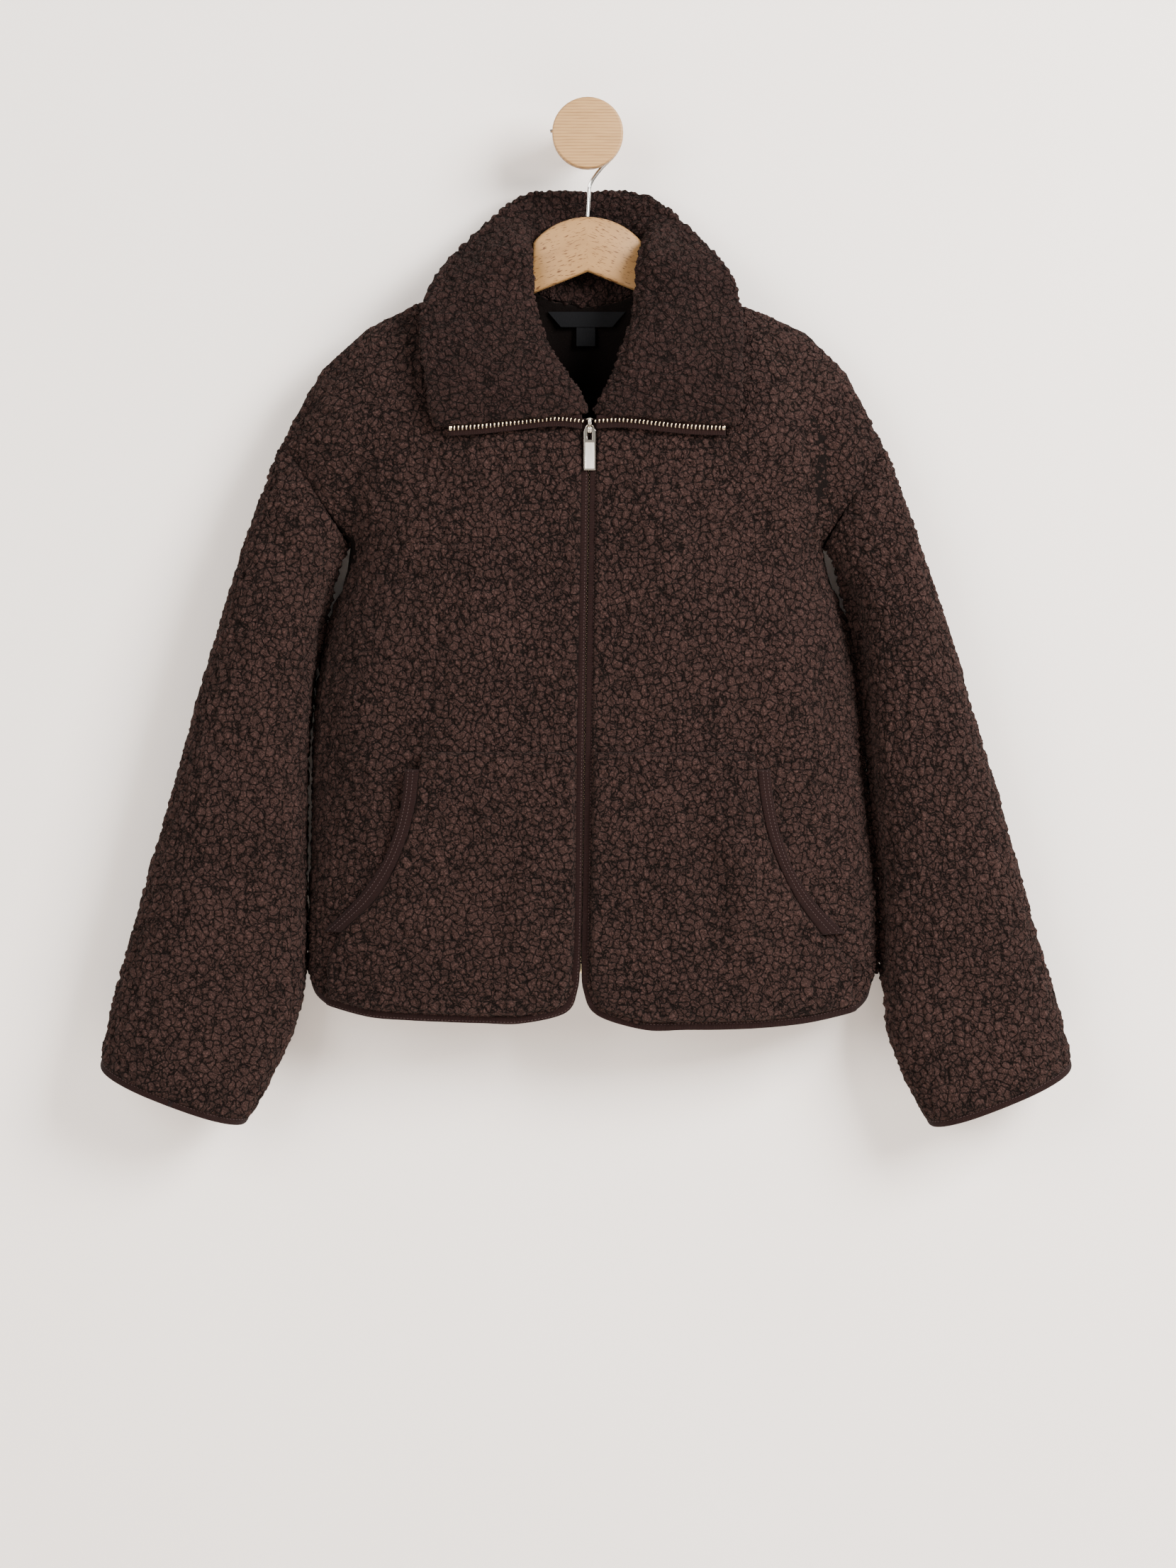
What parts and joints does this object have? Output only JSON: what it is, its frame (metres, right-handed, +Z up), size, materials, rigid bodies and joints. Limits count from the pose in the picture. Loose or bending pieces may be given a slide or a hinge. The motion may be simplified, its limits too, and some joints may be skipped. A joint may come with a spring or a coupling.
{
  "type": "fleece jacket on a wooden hanger and wall knob",
  "caption": "Boxy sherpa fleece jacket with its collar unzipped and folded open, on a wooden hanger hooked over a round wall knob.",
  "frame": {"origin": "centre of the knob's foot, where it meets the wall", "axes": "+X to the viewer's right, +Y from the viewer back into the wall, +Z up; the jacket's front faces -Y"},
  "size_m": [0.9042, 0.121, 0.954],
  "materials": {
    "fleece": "curly sherpa pile, matte",
    "knit": "fine ribbed knit binding, matte",
    "zip_gold": "pale gold moulded zip, soft shine",
    "zip_silver": "pale plated zip slider and pull",
    "label": "woven satin label, bare",
    "beech": "pale beech, satin",
    "wire": "bright steel wire"
  },
  "bodies": {
    "jacket": {"front_left": "fleece", "front_right": "fleece", "back": "fleece", "sleeve_left": "fleece", "sleeve_right": "fleece", "pocket_left": "fleece", "pocket_right": "fleece", "collar": "fleece", "cuff_binding_left": "knit", "cuff_binding_right": "knit", "front_binding_left": "knit", "front_binding_right": "knit", "back_binding": "knit", "pocket_binding_left": "knit", "pocket_binding_right": "knit", "zip_tape_left": "knit", "zip_tape_right": "knit", "zip_teeth_left": "zip_gold", "zip_teeth_right": "zip_gold", "zip_chain": "zip_gold", "zip_box": "zip_gold", "slider": "zip_silver", "slider_bail": "zip_silver", "neck_label": "label", "size_tab": "label", "hanger": "beech", "wall_knob": "beech", "hook": "wire"},
    "pull": {"pull_tab": "zip_silver"}
  },
  "joints": [
    {"name": "pull_swing", "type": "hinge", "parent": "jacket", "child": "pull", "pos_m": [0.0019, -0.1079, -0.277], "axis": [-1, 0, 0], "range_deg": [0, 120]}
  ]
}
